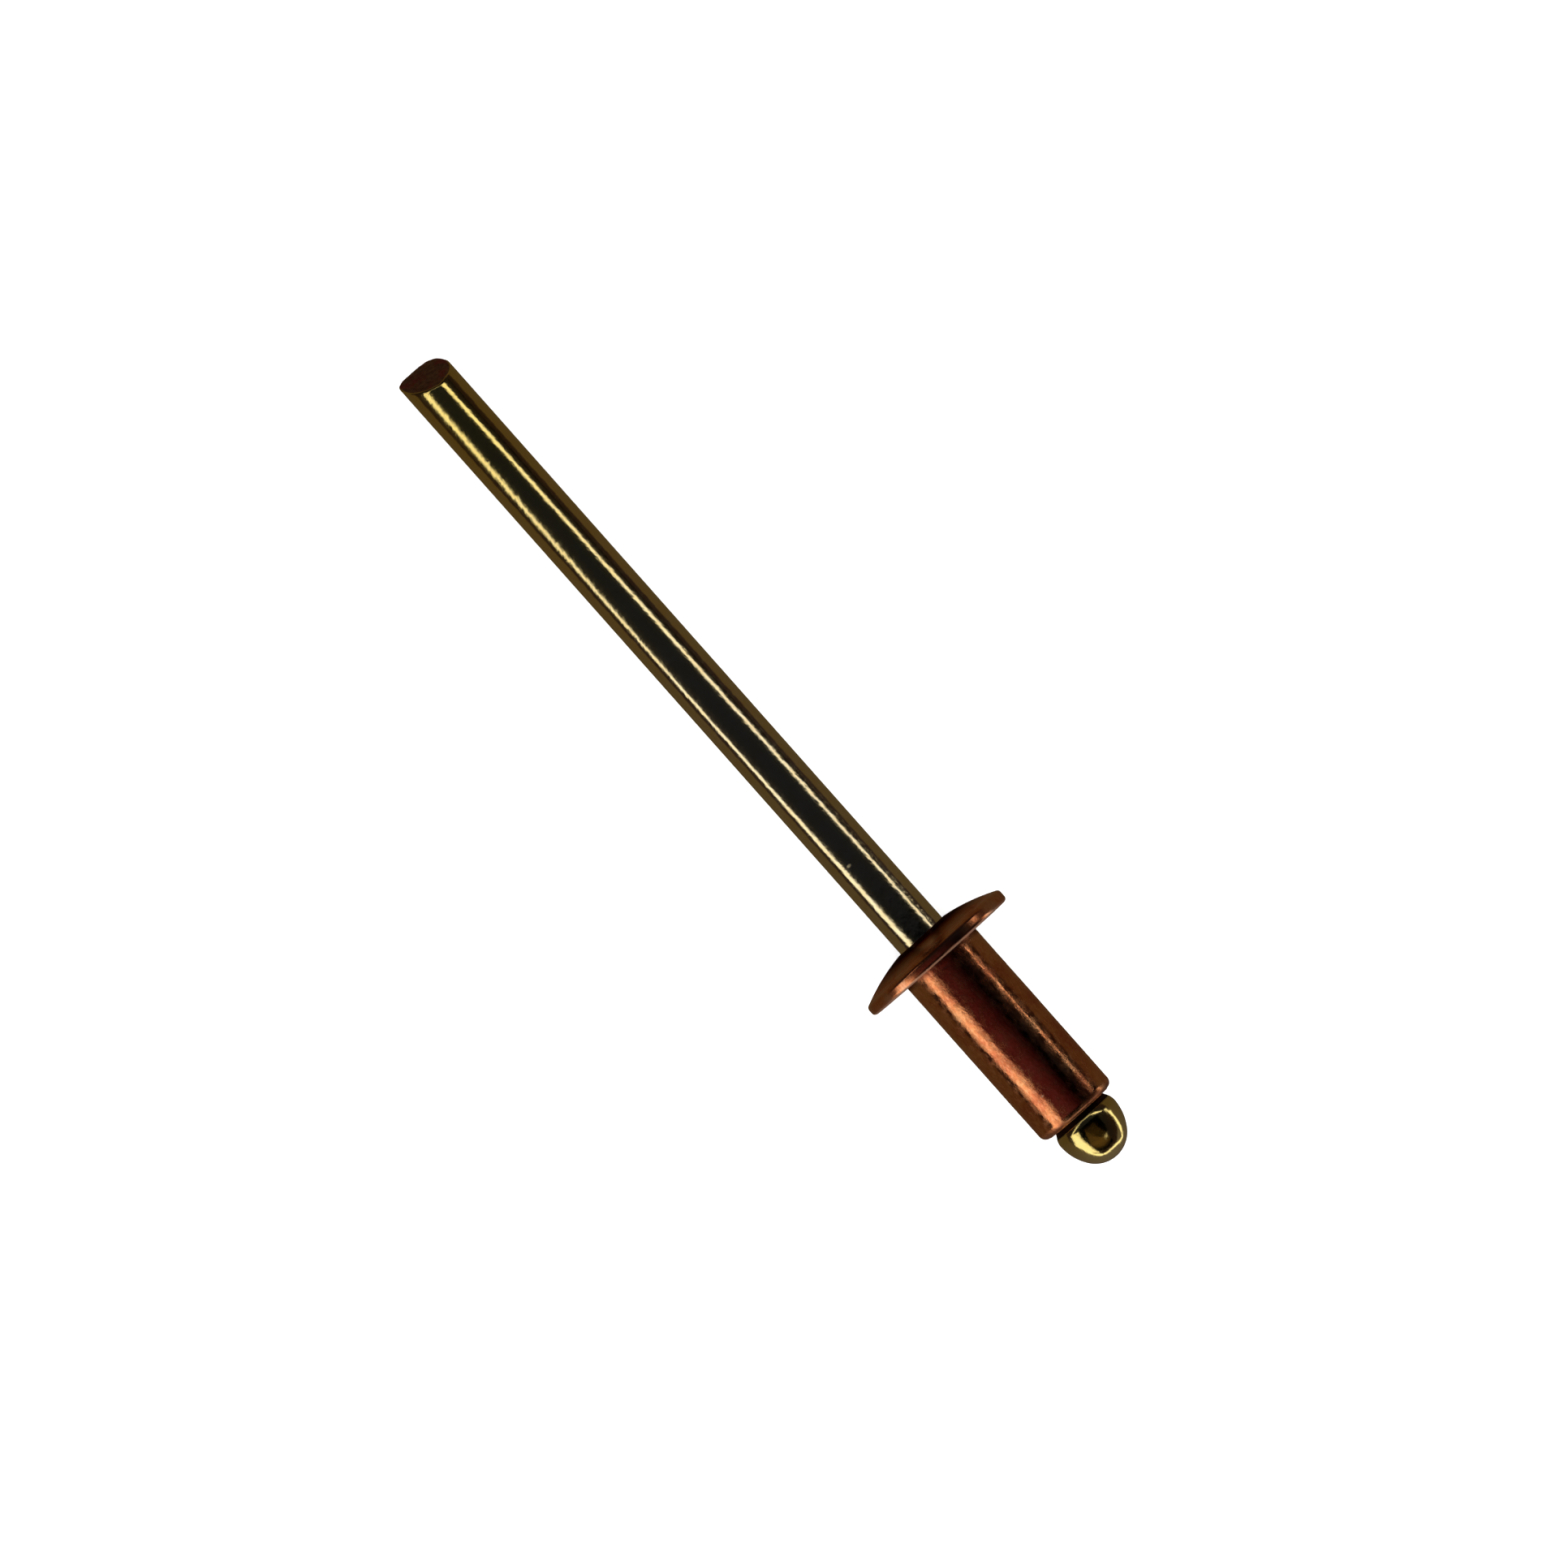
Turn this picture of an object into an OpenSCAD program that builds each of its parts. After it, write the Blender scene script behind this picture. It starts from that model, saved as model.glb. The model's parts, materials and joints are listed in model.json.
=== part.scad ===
// Open-end blind rivet, not yet set: a copper shell with a domed flange, on a headed mandrel.
// Frame: +X runs along the axis, from the mandrel's sheared tail to its head, and +Z is up.
// The origin is on the axis, in the plane of the flange's bearing face. Millimetres.

/* [Shank] */
// Outer diameter of the shank
shank_d = 3.2; // [3.0:0.05:3.4]
// Length of the shank past the flange's bearing face
shank_l = 7.3; // [5:0.1:12]
// Rounding of the edge at the shank's blind end
shank_round = 0.28; // [0.1:0.02:0.36]

/* [Flange] */
// Diameter of the flange
flange_d = 6.25; // [5.8:0.05:6.5]
// Height of the flange at the edge of the bore
flange_h = 1.05; // [0.8:0.05:1.2]
// Height at which the dome would meet the flange's full diameter
rim_h = 0.42; // [0.38:0.02:0.6]
// Rounding of the rim's two edges
rim_round = 0.16; // [0.06:0.02:0.18]

/* [Mandrel] */
// Diameter of the stem
stem_d = 1.96; // [1.86:0.02:2.0]
// Length of stem that stands out of the flange
stem_out = 26.75; // [25:0.25:40]
// Diameter of the head
head_d = 2.54; // [2.44:0.02:2.8]
// How far the head stands past the shank's end
head_out = 2.02; // [1.9:0.02:2.2]
// Radius of the head's nose
nose_r = 1.13; // [1.04:0.01:1.18]
// Angle between the axis and the cone under the head
seat_angle = 30; // [25:1:40]

/* [Break notch] */
// Diameter of the neck where the mandrel snaps
notch_d = 1.3; // [1.1:0.05:1.6]
// Width of the neck's straight part
notch_w = 0.3; // [0.2:0.05:0.6]
// Distance from the shank's end back to the middle of the neck
notch_back = 1.3; // [1.1:0.1:2]

/* [Fit] */
// Radial clearance of the stem in the bore
bore_gap = 0.04; // [0.02:0.01:0.08]
// Gap between the cone under the head and its seat
seat_gap = 0.02; // [0.01:0.01:0.04]

/* [Sheared tail] */
// Angle of the main shear face to the stem's cross-section
shear_tilt = 33; // [20:1:45]
// Direction in which the main face leans, from +Z towards +Y
shear_clock = 20; // [0:1:45]
// Distance from the tail's tip to where the main face crosses the axis
shear_depth = 0.3; // [0:0.05:0.6]
// Angle of the broken corner's face to the cross-section
corner_tilt = 31; // [20:1:45]

/* [Hidden] */
$fn = 96;

shank_r = shank_d / 2;
flange_r = flange_d / 2;
stem_r = stem_d / 2;
head_r = head_d / 2;
notch_r = notch_d / 2;
bore_r = stem_r + bore_gap;

// The dome is a sphere through the edge of the bore and the edge of the rim
dome_c = (pow(flange_h, 2) - pow(rim_h, 2) + pow(bore_r, 2) - pow(flange_r, 2))
    / (2 * (flange_h - rim_h));
dome_r = norm([bore_r, flange_h - dome_c]);
// The upper rim edge is an arc inside that sphere, which it meets at dome_end
rim_in = flange_r - rim_round;
rim_c = dome_c + sqrt(pow(dome_r - rim_round, 2) - pow(rim_in, 2));
dome_end = rim_in * dome_r / (dome_r - rim_round);

// The head: a cone, a shoulder, a side arc that is widest at head_wide, and a round nose
shoulder_r = 0.45 * head_r;
head_wide = shank_l + 0.375 * head_r;
head_tip = shank_l + head_out;
nose_c = head_tip - nose_r;
side_r = (pow(nose_c - head_wide, 2) + pow(head_r, 2) - pow(nose_r, 2))
    / (2 * (head_r - nose_r));
side_end = nose_c + nose_r * (nose_c - head_wide) / (side_r - nose_r);
cone_end = [head_r - shoulder_r * (1 - cos(seat_angle)), head_wide - shoulder_r * sin(seat_angle)];
cone_start = [stem_r, cone_end[1] - (cone_end[0] - stem_r) / tan(seat_angle)];

// The seat is the cone's own slope, moved out by the gap
seat_r = stem_r + (shank_l - cone_start[1]) * tan(seat_angle) + seat_gap / cos(seat_angle);
seat_depth = (seat_r - bore_r) / tan(seat_angle);

tail_x = -flange_h - stem_out;
notch_x = shank_l - notch_back;
notch_flank = stem_r - notch_r;
corner_depth = -0.13 * stem_r;

// Part of a disc, cut to the rectangle between two corners
module disc_part(centre, radius, low, high) {
    intersection() {
        translate(centre) circle(radius);
        translate(low) square(high - low);
    }
}

// Turns an outline of radius and distance along the axis about X
module turn_about_x() {
    rotate([0, 90, 0]) rotate_extrude() children();
}

// Outline of the flange, with its bearing face at 0 and its dome upwards
module flange_outline() {
    disc_part([0, dome_c], dome_r, [bore_r, 0], [rim_in, flange_h]);
    disc_part([0, dome_c], dome_r, [rim_in, rim_c], [dome_end, flange_h]);
    disc_part([rim_in, rim_c], rim_round, [dome_end, rim_c], [flange_r, flange_h]);
    translate([rim_in, rim_round]) square([rim_round, rim_c - rim_round]);
    disc_part([rim_in, rim_round], rim_round, [rim_in, 0], [flange_r, rim_round]);
}

// Outline of the shank, from the bearing face to the rounded end and its seat
module shank_outline() {
    polygon([
        [bore_r, 0],
        [shank_r, 0],
        [shank_r, shank_l - shank_round],
        [shank_r - shank_round, shank_l - shank_round],
        [shank_r - shank_round, shank_l],
        [seat_r, shank_l],
        [bore_r, shank_l - seat_depth],
    ]);
    disc_part([shank_r - shank_round, shank_l - shank_round], shank_round,
        [shank_r - shank_round, shank_l - shank_round], [shank_r, shank_l]);
}

// Outline of the stem with its break notch, up to the end of the cone under the head
module stem_outline() {
    polygon([
        [0, tail_x],
        [stem_r, tail_x],
        [stem_r, notch_x - notch_w / 2 - notch_flank],
        [notch_r, notch_x - notch_w / 2],
        [notch_r, notch_x + notch_w / 2],
        [stem_r, notch_x + notch_w / 2 + notch_flank],
        cone_start,
        cone_end,
        [0, cone_end[1]],
    ]);
}

// Outline of the head, from the end of the cone to the tip of the nose
module head_outline() {
    shoulder_c = [head_r - shoulder_r, head_wide];
    translate([0, cone_end[1]]) square([shoulder_c[0], head_wide - cone_end[1]]);
    disc_part(shoulder_c, shoulder_r, [shoulder_c[0], cone_end[1]], [head_r, head_wide]);
    disc_part([head_r - side_r, head_wide], side_r, [0, head_wide], [head_r, side_end]);
    disc_part([0, nose_c], nose_r, [0, side_end], [head_r, head_tip]);
}

// A block that takes away the tail beyond a plane. The plane crosses the axis at the given
// depth from the tip, and leans by tilt in the direction clock, from +Z towards +Y
module shear(depth, tilt, clock) {
    block = 4 * stem_d;
    translate([tail_x + depth, 0, 0])
        rotate([-clock, 0, 0]) rotate([0, tilt, 0])
            translate([-block, -block / 2, -block / 2]) cube(block);
}

module rivet_body() {
    color([0.66, 0.36, 0.22])
        turn_about_x() {
            mirror([0, 1]) flange_outline();
            shank_outline();
        }
}

module mandrel() {
    color([0.78, 0.68, 0.32])
        difference() {
            turn_about_x() {
                stem_outline();
                head_outline();
            }
            shear(shear_depth, shear_tilt, shear_clock);
            shear(corner_depth, corner_tilt, 90);
        }
}

rivet_body();
mandrel();
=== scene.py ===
import json
import math
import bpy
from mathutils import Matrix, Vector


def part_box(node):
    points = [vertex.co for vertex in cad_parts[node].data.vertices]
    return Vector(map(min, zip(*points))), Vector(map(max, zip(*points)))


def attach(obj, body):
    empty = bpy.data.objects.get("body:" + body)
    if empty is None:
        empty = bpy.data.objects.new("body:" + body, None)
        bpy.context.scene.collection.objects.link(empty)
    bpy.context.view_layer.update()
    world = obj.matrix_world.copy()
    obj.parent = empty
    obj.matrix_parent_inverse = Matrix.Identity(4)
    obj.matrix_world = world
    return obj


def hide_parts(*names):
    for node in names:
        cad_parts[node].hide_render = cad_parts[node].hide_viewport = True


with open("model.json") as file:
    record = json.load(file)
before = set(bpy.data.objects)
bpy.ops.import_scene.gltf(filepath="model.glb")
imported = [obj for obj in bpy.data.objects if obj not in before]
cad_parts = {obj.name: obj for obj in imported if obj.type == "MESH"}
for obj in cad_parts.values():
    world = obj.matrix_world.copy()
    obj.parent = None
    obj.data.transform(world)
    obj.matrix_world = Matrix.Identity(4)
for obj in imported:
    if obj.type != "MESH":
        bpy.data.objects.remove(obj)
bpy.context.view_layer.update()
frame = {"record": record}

from types import SimpleNamespace

import bpy
from mathutils import Vector, noise

MM = 0.001

# ---------------------------------------------------------------- sizes, in millimetres
body_low, body_high = (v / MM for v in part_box("rivet_body"))
wire_low, wire_high = (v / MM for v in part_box("mandrel"))
mounts = {m["name"]: m for m in frame["record"]["mounts"]}

SHANK_R = mounts["shank"]["dims"]["r_mm"]
SHANK_END = body_high.x
SHANK_ROUND = 0.28
FLANGE_R = body_high.y
FLANGE_H = -body_low.x
RIM_H = 0.42  # where the dome would meet the flange's full radius
RIM_ROUND = 0.16
JOINT_FILLET = 0.05  # between the bearing face and the shank
LIP_R = 0.03  # a small lip at the shank's end
MOUTH_ROUND = 0.07  # the dome's edge at the bore
SWELL = 0.006  # slow unevenness of the shell
OUT_OF_SQUARE = 0.032  # the dome's lean at the rim, forward on one side and back on the other
SCRATCH = (5.97, -0.57, 1.495)  # the middle of a short scratch across the shank

STEM_R = mounts["mandrel_stem"]["dims"]["r_mm"]
BORE_R = STEM_R + 0.04
SEAT_R = 1.1
SEAT_ANGLE = math.radians(30)
TAIL_X = wire_low.x
TAIL_EVEN = TAIL_X + 2.5  # from here on the wall's rings are square to the axis
TAIL_ROUND = 0.05  # the worn edge of the sheared face
NOTCH_X = SHANK_END - 1.3
NOTCH_W = 0.3
NOTCH_R = 0.65
HEAD_TIP = wire_high.x
HEAD_R = wire_high.y
HEAD_WIDE = SHANK_END + 0.375 * HEAD_R  # where the head is widest
SHOULDER_R = 0.45 * HEAD_R
NOSE_R = 1.13
NICK = (-4.58, -0.27, 0.942)  # a small nick in the top of the stem

# the tail's main shear face, and what is broken and worn away on its two sides
SHEAR_LEAN = math.radians(33)
SHEAR_CLOCK = math.radians(18)
SHEAR_DEPTH = 0.37
BROKEN_DEPTH = 0.5
WORN_DEPTH = 0.11
TIP_BLEND = 0.02  # how softly the main face runs into the broken and worn tip

REST_LEAN = math.atan2(FLANGE_R - STEM_R, -TAIL_X)  # the rivet lies on its rim and its tail


# ---------------------------------------------------------------- mesh helpers
def arc(centre, radius, start, end, steps):
    """Points (x, r) on an arc, with angles in degrees from +X towards +r."""
    angles = [math.radians(start + (end - start) * i / steps) for i in range(steps + 1)]
    return [(centre[0] + radius * math.cos(a), centre[1] + radius * math.sin(a)) for a in angles]


def line(start, end, steps):
    """Points (x, r) on a straight line."""
    return [tuple(s + (e - s) * i / steps for s, e in zip(start, end)) for i in range(steps + 1)]


def outline(*stretches):
    """Joins stretches of points, and drops those that repeat the one before."""
    points = []
    for stretch in stretches:
        for p in stretch:
            if not points or math.dist(p, points[-1]) > 1e-6:
                points.append(p)
    return points


def round_axis(radius, count):
    """Points (y, z) on a circle round the axis, from +Z towards +Y."""
    angles = [math.tau * k / count for k in range(count)]
    return [(radius * math.sin(a), radius * math.cos(a)) for a in angles]


def steps_round(count):
    """Each index in a ring, with the one after it."""
    return [(i, (i + 1) % count) for i in range(count)]


def ring_faces(first, second, count):
    """The quads between two rings of points, given by their first indices."""
    return [(first + i, second + i, second + j, first + j) for i, j in steps_round(count)]


def mesh_object(name, points, faces, materials):
    """An object in the scene, from points in millimetres."""
    mesh = bpy.data.meshes.new(name)
    mesh.from_pydata([tuple(c * MM for c in p) for p in points], [], faces)
    for material in materials:
        mesh.materials.append(material)
    mesh.update()
    thing = bpy.data.objects.new(name, mesh)
    bpy.context.scene.collection.objects.link(thing)
    return thing


def make_piece(name, points, faces, materials, face_materials=None):
    """A smooth piece of the rivet. The last argument gives each face's material by index."""
    piece = mesh_object(name, points, faces, materials)
    for i, polygon in enumerate(piece.data.polygons):
        polygon.use_smooth = True
        if face_materials:
            polygon.material_index = face_materials[i]
    return piece


# ---------------------------------------------------------------- node helpers
def rgba(colour):
    """A colour socket as it is, or a plain colour with its alpha."""
    return colour if isinstance(colour, bpy.types.NodeSocket) else (*colour, 1.0)


class Nodes:
    """A short way to write a node tree."""

    def __init__(self, tree):
        self.tree = tree
        tree.nodes.clear()

    def add(self, kind, inputs=None, **settings):
        """A node with its settings and inputs, which are sockets or plain values."""
        node = self.tree.nodes.new(kind)
        for key, value in settings.items():
            setattr(node, key, value)
        for key, value in (inputs or {}).items():
            if isinstance(value, bpy.types.NodeSocket):
                self.tree.links.new(value, node.inputs[key])
            else:
                node.inputs[key].default_value = value
        return node

    def math(self, operation, a, b=0.0):
        return self.add("ShaderNodeMath", {0: a, 1: b}, operation=operation).outputs[0]

    def vector(self, operation, a, b=(0.0, 0.0, 0.0)):
        return self.add("ShaderNodeVectorMath", {0: a, 1: b}, operation=operation)

    def ramp(self, value, stops):
        """A colour ramp. Each stop is (place, colour)."""
        node = self.add("ShaderNodeValToRGB", {"Fac": value})
        while len(node.color_ramp.elements) < len(stops):
            node.color_ramp.elements.new(0.5)
        for element, (place, colour) in zip(node.color_ramp.elements, stops):
            element.position = place
            element.color = rgba(colour)
        return node.outputs["Color"]

    def remap(self, value, low, high, to_low, to_high, kind="LINEAR"):
        """Turns the range from low to high into the range from to_low to to_high."""
        inputs = {"Value": value, "From Min": low, "From Max": high, "To Min": to_low, "To Max": to_high}
        return self.add("ShaderNodeMapRange", inputs, interpolation_type=kind).outputs["Result"]

    def band(self, value, rise, fall):
        """1 between two ranges, rises over the first and falls over the second."""
        risen = self.remap(value, *rise, 0.0, 1.0)
        return self.math("MULTIPLY", risen, self.remap(value, *fall, 1.0, 0.0))

    def near(self, vector, place, stretch, reach):
        """1 at a place, and 0 beyond its reach, which is longer along the axis that shrinks."""
        offset = self.vector("SUBTRACT", vector, place).outputs[0]
        shrunk = self.vector("MULTIPLY", offset, stretch).outputs[0]
        away = self.vector("LENGTH", shrunk).outputs["Value"]
        return self.remap(away, 0.5 * reach, reach, 1.0, 0.0)

    def noise(self, vector, scale, detail, roughness):
        inputs = {"Vector": vector, "Scale": scale, "Detail": detail, "Roughness": roughness}
        return self.add("ShaderNodeTexNoise", inputs).outputs["Fac"]

    def axis(self, vector, name):
        return self.add("ShaderNodeSeparateXYZ", {"Vector": vector}).outputs[name]

    def stretched(self, vector, along):
        """Coordinates whose texture runs along the rivet's axis."""
        inputs = {"Vector": vector, "Scale": (along, 1.0, 1.0)}
        return self.add("ShaderNodeMapping", inputs).outputs["Vector"]

    def mix(self, factor, a, b):
        """Blends two colours."""
        return self.add("ShaderNodeMix", {0: factor, 6: rgba(a), 7: rgba(b)}, data_type="RGBA").outputs[2]

    def mixed(self, factor, a, b):
        """Blends two numbers."""
        return self.add("ShaderNodeMix", {0: factor, 2: a, 3: b}, data_type="FLOAT").outputs[0]

    def bump(self, height, depth, normal=None):
        """A relief as deep as the given millimetres, over another one if its normal is given."""
        inputs = {"Height": height, "Distance": depth * MM}
        if normal:
            inputs["Normal"] = normal
        return self.add("ShaderNodeBump", inputs).outputs["Normal"]

    def surface(self, shader):
        """Ends a material with the node that makes its surface."""
        self.add("ShaderNodeOutputMaterial", {"Surface": shader.outputs[0]})

    def metal(self, base, roughness, normal):
        inputs = {"Base Color": base, "Metallic": 1.0, "Roughness": roughness, "Normal": normal}
        shader = self.add("ShaderNodeBsdfPrincipled", inputs)
        self.surface(shader)
        return shader


def new_material(name):
    """A material, its node tree, and the place on the piece in millimetres."""
    material = bpy.data.materials.new(name)
    material.use_nodes = True
    nodes = Nodes(material.node_tree)
    place = nodes.add("ShaderNodeTexCoord").outputs["Object"]
    millimetres = nodes.add("ShaderNodeMapping", {"Vector": place, "Scale": (1 / MM,) * 3})
    return material, nodes, millimetres.outputs["Vector"]


# ---------------------------------------------------------------- copper
def copper_masks(nodes, place):
    """What the copper's looks depend on: the distances along and from the axis, which part
    it is, where it is worn, where shade and a highlight are painted on, and its unevenness."""
    along = nodes.axis(place, "X")
    radius = nodes.vector("LENGTH", nodes.stretched(place, 0.0)).outputs["Value"]
    on_shank = nodes.remap(along, -0.05, 0.25, 0.0, 1.0)
    near_stem = nodes.remap(radius, STEM_R + 0.7, STEM_R + 1.8, 0.95, 0.0)
    at_back = nodes.remap(along, -0.09, -0.05, 0.0, 1.0)
    at_rim = nodes.remap(radius, FLANGE_R - 0.2, FLANGE_R - 0.15, 0.0, 1.0)
    return SimpleNamespace(
        along=along,
        radius=radius,
        on_shank=on_shank,
        near_stem=near_stem,
        # painted shade: the dome darkens towards the stem, standing in for the stem's dark reflection
        shade_near_stem=nodes.mixed(on_shank, near_stem, 0.0),
        # painted highlight along the rim's edge on the shank side
        rim_highlight=nodes.math("MULTIPLY", at_back, at_rim),
        # painted shade round the shank's end, beside the head
        end_shade=nodes.band(along, (SHANK_END - 0.22, SHANK_END - 0.12), (SHANK_END - 0.015, SHANK_END)),
        scratch=nodes.near(place, SCRATCH, (1.0, 0.22, 1.0), 0.035),
        patches=nodes.noise(place, 0.9, 4.0, 0.6),
        grain=nodes.noise(nodes.stretched(place, 0.6), 12.0, 3.0, 0.65),
        rubbed=nodes.noise(nodes.stretched(place, 0.7), 4.5, 4.0, 0.6),
        dents=nodes.noise(nodes.stretched(place, 0.5), 3.5, 2.0, 0.5),
    )


def copper_colour(nodes, masks):
    """Redder and paler patches, with a grain over them. It is duller on the dome, has painted
    shade near the stem and round the shank's end, and a painted highlight along the rim's edge."""
    tones = [(0.35, (0.70, 0.20, 0.08)), (0.5, (0.86, 0.32, 0.12)), (0.65, (0.93, 0.43, 0.18))]
    base = nodes.ramp(masks.patches, tones)
    base = nodes.mix(nodes.remap(masks.grain, 0.45, 0.7, 0.0, 0.5), base, (0.55, 0.14, 0.05))
    base = nodes.mix(nodes.remap(masks.grain, 0.5, 0.3, 0.0, 0.5), base, (0.97, 0.46, 0.24))
    dull = nodes.mixed(masks.on_shank, nodes.remap(masks.patches, 0.45, 0.6, 0.0, 0.5), 0.0)
    base = nodes.mix(dull, base, (0.70, 0.40, 0.28))
    # painted shade on the dome near the stem
    base = nodes.mix(masks.shade_near_stem, base, (0.11, 0.025, 0.018))
    # painted highlight: the rim's edge on the shank side made pale
    base = nodes.mix(nodes.math("MULTIPLY", masks.rim_highlight, 0.8), base, (0.98, 0.62, 0.40))
    # painted shade round the shank's end
    base = nodes.mix(nodes.math("MULTIPLY", masks.end_shade, 0.45), base, (0.12, 0.025, 0.015))
    return nodes.mix(masks.scratch, base, (0.98, 0.55, 0.32))


def copper_roughness(nodes, masks):
    """Smoother towards the rim, rubbed in patches on the shank, and dull where it is worn."""
    on_dome = nodes.remap(masks.radius, FLANGE_R - 0.4, FLANGE_R - 0.2, 0.36, 0.22)
    along_shank = nodes.remap(masks.rubbed, 0.4, 0.6, 0.11, 0.27)
    roughness = nodes.mixed(masks.on_shank, on_dome, along_shank)
    worn_end = nodes.remap(masks.along, SHANK_END - 0.3, SHANK_END - 0.1, 0.0, 0.2)
    worn = nodes.math("MAXIMUM", worn_end, nodes.math("MULTIPLY", masks.scratch, 0.35))
    roughness = nodes.math("ADD", roughness, worn)
    roughness = nodes.math("ADD", roughness, nodes.math("MULTIPLY", masks.rim_highlight, 0.25))
    return nodes.math("ADD", roughness, nodes.remap(masks.patches, 0.3, 0.7, 0.03, -0.02))


def copper_relief(nodes, masks):
    """Small dents and a grain, faint on the dome except near the stem."""
    on_dome = nodes.math("ADD", 0.25, nodes.math("MULTIPLY", masks.near_stem, 3.0))
    strength = nodes.mixed(masks.on_shank, on_dome, 1.0)
    dented = nodes.bump(nodes.math("MULTIPLY", masks.dents, strength), 0.009)
    return nodes.bump(nodes.math("MULTIPLY", masks.grain, strength), 0.0032, dented)


def copper_material():
    """Drawn and headed copper: a satin shank, a smoother flange, and painted shade on the dome near the
    stem.
    """
    material, nodes, place = new_material("copper_satin")
    masks = copper_masks(nodes, place)
    relief = copper_relief(nodes, masks)
    shader = nodes.metal(copper_colour(nodes, masks), copper_roughness(nodes, masks), relief)
    # where shade is painted near the stem, the metal doesn't brighten at a glance either
    glancing = nodes.mix(masks.shade_near_stem, (1.0, 0.9, 0.8), (0.12, 0.05, 0.04))
    nodes.tree.links.new(glancing, shader.inputs["Specular Tint"])
    return material


# ---------------------------------------------------------------- wire
def wire_material():
    """Polished drawn wire, brass-coloured, with faint draw lines and slow waves. It is more
    golden at both ends, and has painted shade under the head."""
    material, nodes, place = new_material("wire_polished")
    along = nodes.axis(place, "X")
    lines = nodes.noise(nodes.stretched(place, 0.5), 10.0, 3.0, 0.6)
    waves = nodes.noise(place, 2.6, 2.0, 0.5)
    spots = nodes.noise(place, 9.0, 3.0, 0.6)
    near_tail = nodes.remap(along, TAIL_X + 3, TAIL_X + 16, 0.8, 0.0)
    near_head = nodes.remap(along, 0.0, SHANK_END, 0.0, 0.7)
    # painted shade on the wire in the gap between the shank's end and the head
    head_gap_shade = nodes.band(along, (SHANK_END - 0.3, SHANK_END), (SHANK_END + 0.21, SHANK_END + 0.25))
    nick = nodes.near(place, NICK, (1.0, 0.6, 1.0), 0.07)
    base = nodes.ramp(waves, [(0.35, (0.86, 0.68, 0.36)), (0.65, (0.89, 0.74, 0.44))])
    base = nodes.mix(nodes.math("ADD", near_tail, near_head), base, (0.84, 0.62, 0.14))
    # painted shade under the head
    base = nodes.mix(head_gap_shade, base, (0.02, 0.012, 0.008))
    marks = nodes.math("MULTIPLY", nodes.math("MAXIMUM", head_gap_shade, nick), 0.4)
    roughness = nodes.math("ADD", nodes.remap(spots, 0.35, 0.7, 0.09, 0.15), marks)
    normal = nodes.bump(waves, 0.006, nodes.bump(lines, 0.0035))
    nodes.metal(base, roughness, normal)
    return material


def sheared_material():
    """The torn metal of the sheared tail: dull, brown and coarse, with redder patches."""
    material, nodes, place = new_material("wire_sheared")
    tears = nodes.noise(place, 6.0, 4.0, 0.7)
    patches = nodes.noise(place, 1.6, 3.0, 0.6)
    brown = nodes.ramp(tears, [(0.3, (0.20, 0.09, 0.06)), (0.7, (0.42, 0.23, 0.14))])
    base = nodes.mix(nodes.remap(patches, 0.45, 0.6, 0.0, 0.8), brown, (0.42, 0.09, 0.08))
    nodes.metal(base, nodes.remap(tears, 0.3, 0.7, 0.6, 0.4), nodes.bump(tears, 0.04))
    return material


# ---------------------------------------------------------------- shell
def body_outline():
    """Closed outline of the shell: dome, rim, bearing face, shank, seat and bore."""
    rim_in = FLANGE_R - RIM_ROUND
    dome_c = (FLANGE_R**2 - BORE_R**2 + RIM_H**2 - FLANGE_H**2) / (2 * (FLANGE_H - RIM_H))
    dome_r = math.hypot(BORE_R, FLANGE_H + dome_c)
    rim_c = dome_c - math.sqrt((dome_r - RIM_ROUND) ** 2 - rim_in**2)
    rim_lean = math.degrees(math.asin(rim_in / (dome_r - RIM_ROUND)))
    mouth_c = BORE_R + MOUTH_ROUND
    mouth_lean = math.degrees(math.asin(mouth_c / dome_r))
    dome = arc((dome_c, 0), dome_r, 180 - mouth_lean, 180 - rim_lean, 44)
    mouth_x = dome[0][0] + MOUTH_ROUND
    shank_edge = (SHANK_END - SHANK_ROUND, SHANK_R - SHANK_ROUND)
    seat_x = SHANK_END - (SEAT_R - BORE_R) / math.tan(SEAT_ANGLE)
    return outline(
        arc((mouth_x, mouth_c), MOUTH_ROUND, 270, 180 - mouth_lean, 8),
        dome,
        arc((rim_c, rim_in), RIM_ROUND, 180 - rim_lean, 90, 10),
        arc((-RIM_ROUND, rim_in), RIM_ROUND, 90, 0, 12),
        line((0, rim_in), (0, SHANK_R + JOINT_FILLET), 16),
        arc((JOINT_FILLET, SHANK_R + JOINT_FILLET), JOINT_FILLET, 180, 270, 6),
        line((JOINT_FILLET, SHANK_R), (shank_edge[0], SHANK_R), 90),
        arc(shank_edge, SHANK_ROUND, 90, 8, 16),
        arc((SHANK_END - LIP_R / 2, shank_edge[1]), LIP_R, 80, -60, 8),
        line((SHANK_END, shank_edge[1] - LIP_R), (SHANK_END, SEAT_R), 4),
        line((SHANK_END, SEAT_R), (seat_x, BORE_R), 3),
        line((seat_x, BORE_R), (mouth_x, BORE_R), 24),
    )


def uneven(x, r, y, z):
    """A point of the shell with the slow unevenness of drawn metal, which fades out towards
    the bore, and a dome that was struck slightly out of square."""
    waver = noise.noise(Vector((x * 0.5, y * 0.6, z * 0.6 + 7.0)))
    growth = 1 + SWELL * waver * min(1.0, max(0.0, (r - BORE_R) / 0.3)) / r
    on_dome = x < -RIM_ROUND and r > BORE_R + 0.01
    lean = -OUT_OF_SQUARE * y / FLANGE_R if on_dome else 0.0
    return (x + lean, y * growth, z * growth)


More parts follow.
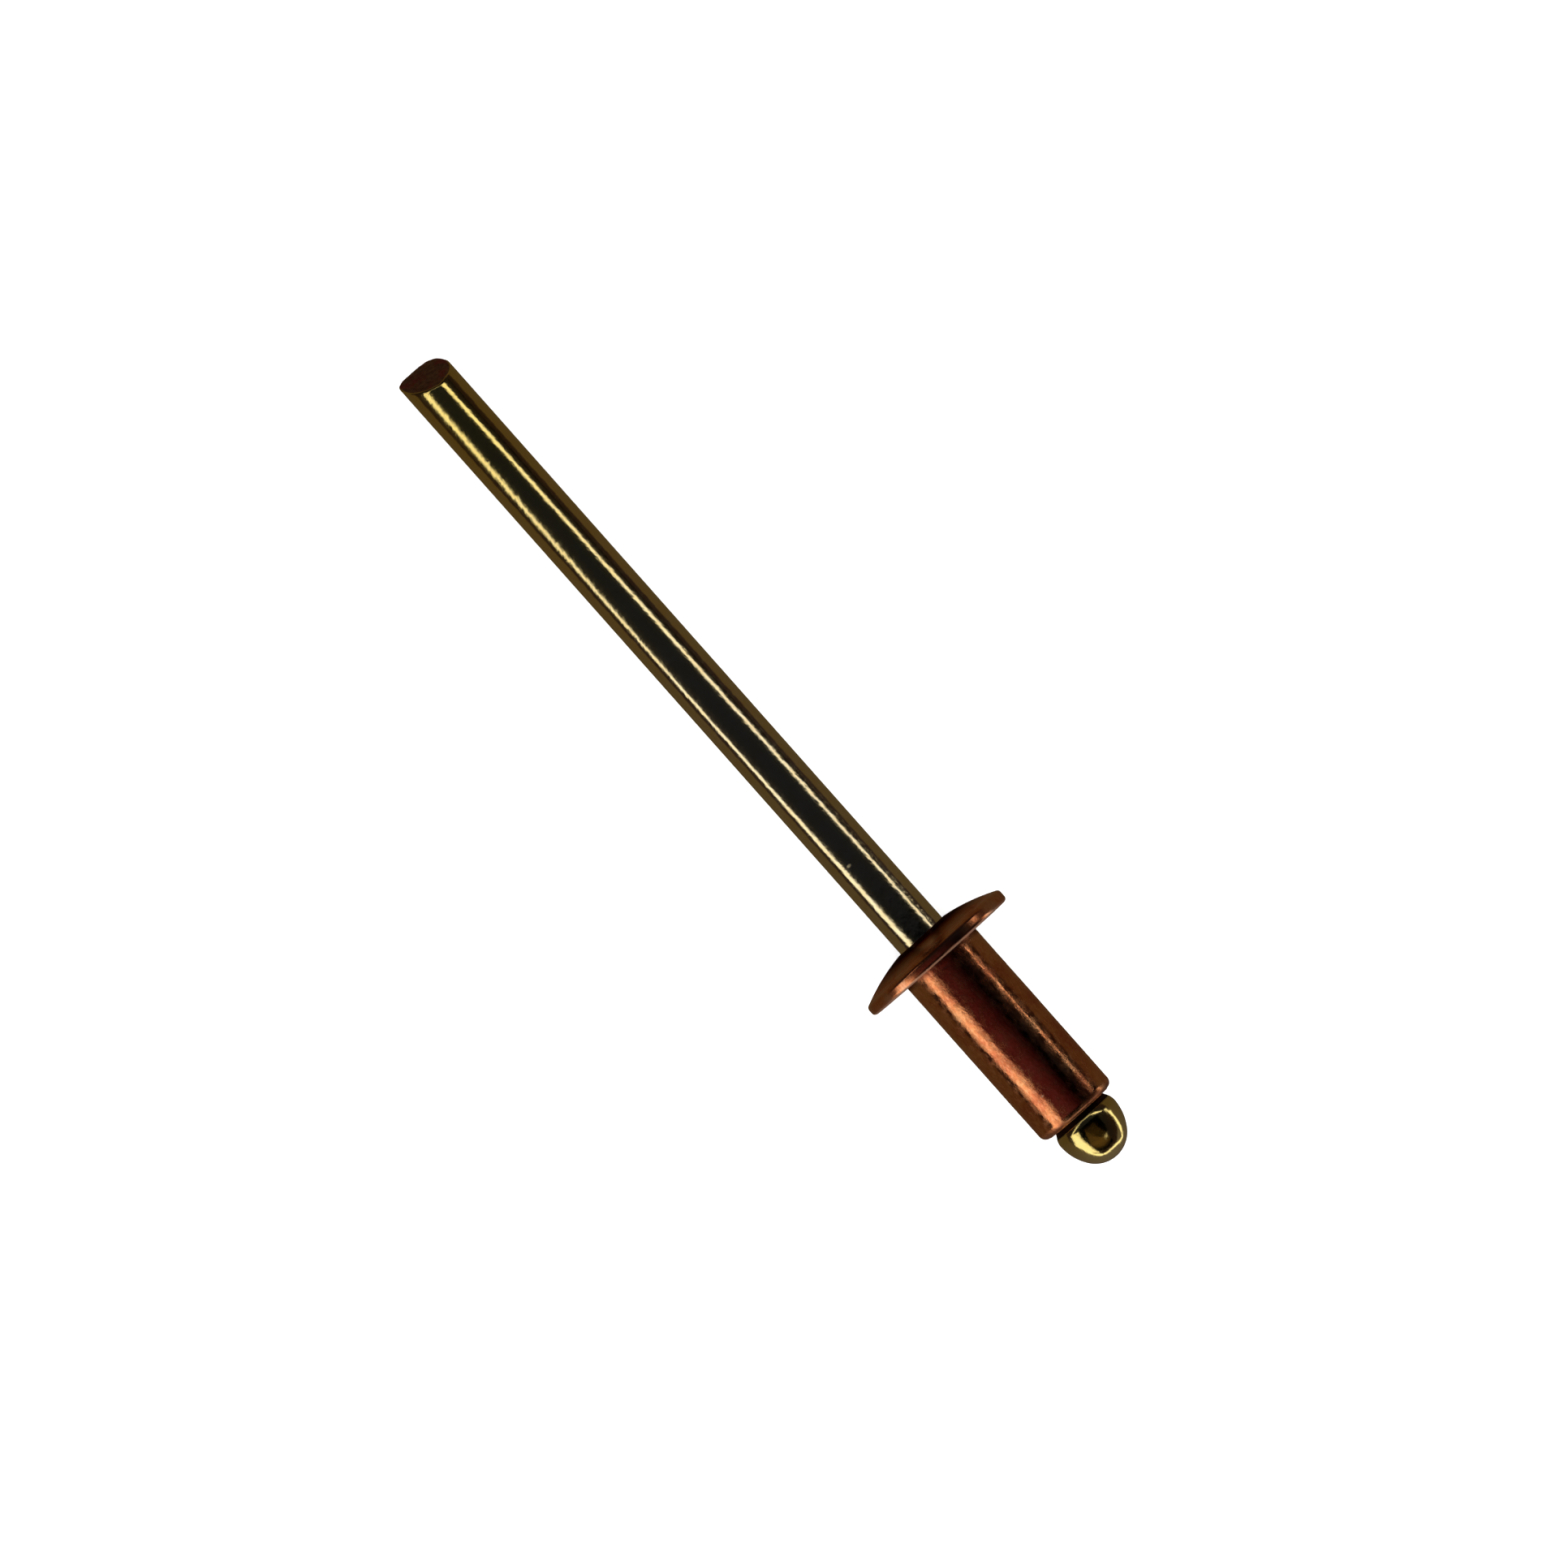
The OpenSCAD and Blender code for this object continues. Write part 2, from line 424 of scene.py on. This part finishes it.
def make_body():
    """The shell, a ring of points for each point of its closed outline."""
    turns = 320
    path = body_outline()
    points = [uneven(x, r, y, z) for x, r in path for y, z in round_axis(r, turns)]
    starts = [i * turns for i in range(len(path))]
    faces = []
    for first, second in zip(starts, starts[1:] + starts[:1]):
        faces += ring_faces(first, second, turns)
    return make_piece("shell", points, faces, [copper_material()])


# ---------------------------------------------------------------- mandrel
def tail_face(y, z):
    """How far the sheared tail reaches at a point of the cross-section: a main plane, a tip
    that is broken off on one side and a little worn on the other, and a torn surface."""
    main = SHEAR_DEPTH + math.tan(SHEAR_LEAN) * (z * math.cos(SHEAR_CLOCK) + y * math.sin(SHEAR_CLOCK))
    broken = BROKEN_DEPTH * max(0.0, y / STEM_R) ** 3
    worn = WORN_DEPTH * (2 * max(0.0, -y / STEM_R - 0.5)) ** 2
    tip = broken + worn
    top = max(main, tip)
    share = math.exp((main - top) / TIP_BLEND) + math.exp((tip - top) / TIP_BLEND)
    coarse = 0.03 * noise.noise(Vector((y * 2.2, z * 2.2, 3.0)))
    fine = 0.012 * noise.noise(Vector((y * 9, z * 5, 9.0)))
    return TAIL_X + top + TIP_BLEND * math.log(share) + coarse + fine


def tail_rings(turns):
    """Rings of points on the sheared tail: its face, its worn edge, and the first stretch of
    the wall, where the rings even out. The second result counts the rings on the face."""
    inner_r = STEM_R - TAIL_ROUND
    shapes = [(inner_r * (i / 40), 0.0, 0.0) for i in range(1, 41)]
    face_rings = len(shapes)
    for i in range(1, 7):
        a = math.radians(90 * i / 6)
        shapes.append((STEM_R - TAIL_ROUND * (1 - math.sin(a)), TAIL_ROUND * (1 - math.cos(a)), 0.0))
    shapes += [(STEM_R, TAIL_ROUND, i / 24) for i in range(1, 24)]
    rings = []
    for r, back, even in shapes:
        reach = [(tail_face(y, z) + back, y, z) for y, z in round_axis(r, turns)]
        rings.append([(x * (1 - even) + TAIL_EVEN * even, y, z) for x, y, z in reach])
    return rings, face_rings


def wire_outline():
    """Outline of the wire from just past the tail to the tip of the nose."""
    flank = STEM_R - NOTCH_R
    neck_low, neck_high = NOTCH_X - NOTCH_W / 2, NOTCH_X + NOTCH_W / 2
    cone_end = (HEAD_WIDE - SHOULDER_R * math.sin(SEAT_ANGLE),
                HEAD_R - SHOULDER_R * (1 - math.cos(SEAT_ANGLE)))
    cone_start = (cone_end[0] - (cone_end[1] - STEM_R) / math.tan(SEAT_ANGLE), STEM_R)
    nose_c = HEAD_TIP - NOSE_R
    side_r = ((nose_c - HEAD_WIDE) ** 2 + HEAD_R**2 - NOSE_R**2) / (2 * (HEAD_R - NOSE_R))
    side_c = (HEAD_WIDE, HEAD_R - side_r)
    nose_turn = math.degrees(math.atan2(-side_c[1], nose_c - HEAD_WIDE))
    return outline(
        line((TAIL_EVEN, STEM_R), (neck_low - flank, STEM_R), 60),
        line((neck_low - flank, STEM_R), (neck_low, NOTCH_R), 6),
        line((neck_low, NOTCH_R), (neck_high, NOTCH_R), 4),
        line((neck_high, NOTCH_R), (neck_high + flank, STEM_R), 6),
        line((neck_high + flank, STEM_R), cone_start, 6),
        line(cone_start, cone_end, 6),
        arc((HEAD_WIDE, HEAD_R - SHOULDER_R), SHOULDER_R, 90 + math.degrees(SEAT_ANGLE), 90, 12),
        arc(side_c, side_r, 90, nose_turn, 24),
        arc((nose_c, 0), NOSE_R, nose_turn, 1.5, 24),
    )


def make_mandrel():
    """The wire: a point in the middle of the sheared face, rings of points, and the tip."""
    turns = 256
    rings, face_rings = tail_rings(turns)
    rings += [[(x, y, z) for y, z in round_axis(r, turns)] for x, r in wire_outline()]
    points = [(tail_face(0, 0), 0, 0)]
    for ring in rings:
        points += ring
    points.append((HEAD_TIP, 0, 0))
    tip = len(points) - 1
    starts = [1 + i * turns for i in range(len(rings))]
    faces = [(1 + i, 1 + j, 0) for i, j in steps_round(turns)]
    for first, second in zip(starts, starts[1:]):
        faces += [tuple(reversed(face)) for face in ring_faces(first, second, turns)]
    faces += [(tip, starts[-1] + j, starts[-1] + i) for i, j in steps_round(turns)]
    sheared = [1 if i < turns * face_rings else 0 for i in range(len(faces))]
    return make_piece("wire", points, faces, [wire_material(), sheared_material()], sheared)


# ---------------------------------------------------------------- floor, light and camera
def make_floor():
    """A plain pale floor just under the flange's rim and the tail's lower edge."""
    gap = 0.02
    rim_low = Vector((-0.2, 0, -FLANGE_R))
    bpy.ops.mesh.primitive_plane_add(size=2.0)
    floor = bpy.context.object
    floor.name = "floor"
    floor.rotation_euler = (0, REST_LEAN, 0)
    normal = Vector((math.sin(REST_LEAN), 0, math.cos(REST_LEAN)))
    floor.location = (rim_low - normal * gap) * MM
    material = bpy.data.materials.new("floor_pale")
    material.use_nodes = True
    nodes = Nodes(material.node_tree)
    nodes.surface(nodes.add("ShaderNodeBsdfDiffuse", {"Color": rgba((0.93, 0.93, 0.93))}))
    floor.data.materials.append(material)
    floor.visible_glossy = False


def make_world():
    """White for the camera and for soft light on the floor, a dark studio in reflections."""
    world = bpy.data.worlds.new("studio")
    bpy.context.scene.world = world
    world.use_nodes = True
    nodes = Nodes(world.node_tree)
    direction = nodes.add("ShaderNodeTexCoord").outputs["Generated"]
    table = nodes.ramp(nodes.remap(nodes.axis(direction, "X"), -1, 1, 0, 1), [
        (0.5, (0.084, 0.061, 0.032)),
        (0.95, (0.13, 0.12, 0.14)),
    ])
    ceiling = nodes.ramp(nodes.axis(direction, "Z"), [
        (0.0, (0.022, 0.012, 0.012)),
        (0.5, (0.012, 0.009, 0.011)),
        (0.8, (0.010, 0.011, 0.016)),
        (1.0, (0.010, 0.012, 0.019)),
    ])
    above = nodes.remap(nodes.axis(direction, "Z"), -0.02, 0.02, 0, 1)
    studio = nodes.mix(above, table, ceiling)
    path = nodes.add("ShaderNodeLightPath")
    white = nodes.add("ShaderNodeBackground", {"Color": rgba((1, 1, 1)), "Strength": 2.3}).outputs[0]
    dark = nodes.add("ShaderNodeBackground", {"Color": studio, "Strength": 1.0}).outputs[0]
    mixed = nodes.add("ShaderNodeMixShader", {0: path.outputs["Is Glossy Ray"], 1: white, 2: dark})
    nodes.add("ShaderNodeOutputWorld", {"Surface": mixed.outputs[0]})
    # sampled as a lamp, the world would look the same to every kind of ray
    world.cycles.sampling_method = "NONE"


def glow_material(name, radiance, colour, brightest):
    """Light of one colour. If the place where it is brightest is given, from 0 to 1 across
    the card's box, it fades away from there."""
    material = bpy.data.materials.new(name)
    material.use_nodes = True
    nodes = Nodes(material.node_tree)
    strength = radiance
    if brightest:
        place = nodes.add("ShaderNodeTexCoord").outputs["Generated"]
        away = nodes.vector("DISTANCE", place, (*brightest, 0.5)).outputs["Value"]
        strength = nodes.remap(away, 0.05, 0.5, radiance, 0.0, "SMOOTHSTEP")
    nodes.surface(nodes.add("ShaderNodeEmission", {"Color": rgba(colour), "Strength": strength}))
    return material


def add_card(name, corners, radiance, only=None, colour=(1, 1, 1), brightest=None, faces=None):
    """A lit card with its corners in millimetres, of one face unless its faces are given. It
    only shows in reflections, and if a piece is given, only in that piece."""
    material = glow_material(name, radiance, colour, brightest)
    card = mesh_object(name, corners, faces or [range(len(corners))], [material])
    card.visible_camera = False
    card.visible_diffuse = False
    card.visible_shadow = False
    if only:
        lit = bpy.data.collections.new(name)
        lit.objects.link(only)
        card.light_linking.receiver_collection = lit


def add_ribbon(name, width, path, radiance):
    """A lit ribbon that bends round past the head, half a metre away. Its path is given as
    directions from the head: degrees from +X towards +Y, and degrees above the floor."""
    reach = 500
    corners = []
    for i, (turn, rise) in enumerate(path):
        before, after = path[max(i - 1, 0)], path[min(i + 1, len(path) - 1)]
        ahead = Vector((after[0] - before[0], after[1] - before[1])).normalized()
        for side in (-width / 2, width / 2):
            a = math.radians(turn - side * ahead.y)
            b = math.radians(rise + side * ahead.x)
            flat = reach * math.cos(b)
            corners.append((SHANK_END + flat * math.cos(a), flat * math.sin(a), reach * math.sin(b)))
    faces = [(2 * i, 2 * i + 2, 2 * i + 3, 2 * i + 1) for i in range(len(path) - 1)]
    add_card(name, corners, radiance, faces=faces)


def hung(*places):
    """Corners of a card that hangs level over the rivet."""
    height = 53
    return [(x, y, height) for x, y in places]


def make_stripes(shell, wire):
    """The light along the rivet, on its near side and on its far side, which opens towards
    the head. The far one is in parts, because each metal shows it at its own place."""
    near_inner = [(-35, -22), (-26, -51), (-16, -97), (-12, -105), (-3, -82), (4, -48), (370, -195)]
    near_outer = [(370, -1150), (6, -165), (-3, -190), (-16, -175), (-26, -103), (-35, -60)]
    far_inner = [(-35, 24), (-21, 37), (-11, 49), (-3, 67), (3.5, 80)]
    far_outer = [(3.5, 115), (-3, 97), (-11, 75), (-21, 57), (-35, 44)]
    add_card("near_side", hung(*near_inner, *near_outer), 1.3)
    add_card("far_stem", hung(*far_inner, *far_outer), 1.3, wire)
    add_card("far_head", hung((4, 130), (4, 162), (9, 190), (9, 270), (370, 1700), (370, 1100)), 1.1, wire)
    add_card("far_shell", hung((-35, 112), (9, 120), (9, 150), (-35, 142)), 2.2, shell)


def make_ends(wire):
    """The light past both ends of the rivet, which on the head joins the stripes to a ring."""
    add_card("past_tail", hung((-47, -58), (-38, -58), (-38, 30), (-47, 30)), 0.7, wire)
    near_turns = [(-62, 8), (-40, 0), (-17, -3), (0, -1), (10, -2), (22, -10)]
    far_turns = [(29, -18), (38, -25), (48, -21), (59, -10), (73, 1), (80, 4)]
    add_ribbon("past_head", 8, near_turns + far_turns, 1.5)


def make_panels(shell, wire):
    """Dim, warm panels over the shell and over the head, and the glint inside the ring."""
    reddish, golden = (1.0, 0.32, 0.5), (1.0, 0.62, 0.25)
    over_shell = hung((-0.5, -75), (-0.5, 45), (60, 45), (60, -75))
    over_head = hung((14, -22), (14, 14), (200, 80), (200, -150))
    add_card("over_shell", over_shell, 0.08, shell, reddish, (0.2, 0.4))
    add_card("over_head", over_head, 0.09, wire, golden, (0.25, 0.6))
    add_card("window", hung((63, 16), (83, 16), (83, 34), (63, 34)), 0.6)


def make_camera():
    """Straight above, rolled so that the head points down and to the right."""
    distance = 550 * MM
    view_width = 55.2 * MM
    middle = (-8.25 * MM, -0.07 * MM)
    roll = math.radians(48.42)
    data = bpy.data.cameras.new("camera")
    data.sensor_width = 36.0
    data.lens = data.sensor_width * distance / view_width
    data.clip_start, data.clip_end = 0.01, 10.0
    camera = bpy.data.objects.new("camera", data)
    bpy.context.scene.collection.objects.link(camera)
    camera.location = (*middle, distance)
    camera.rotation_euler = (0, 0, roll)
    bpy.context.scene.camera = camera


# ---------------------------------------------------------------- the whole scene
shell = make_body()
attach(shell, "body")
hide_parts("rivet_body")

wire = make_mandrel()
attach(wire, "mandrel")
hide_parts("mandrel")

make_floor()
make_world()
make_stripes(shell, wire)
make_ends(wire)
make_panels(shell, wire)
make_camera()
bpy.context.scene.view_settings.view_transform = "Standard"
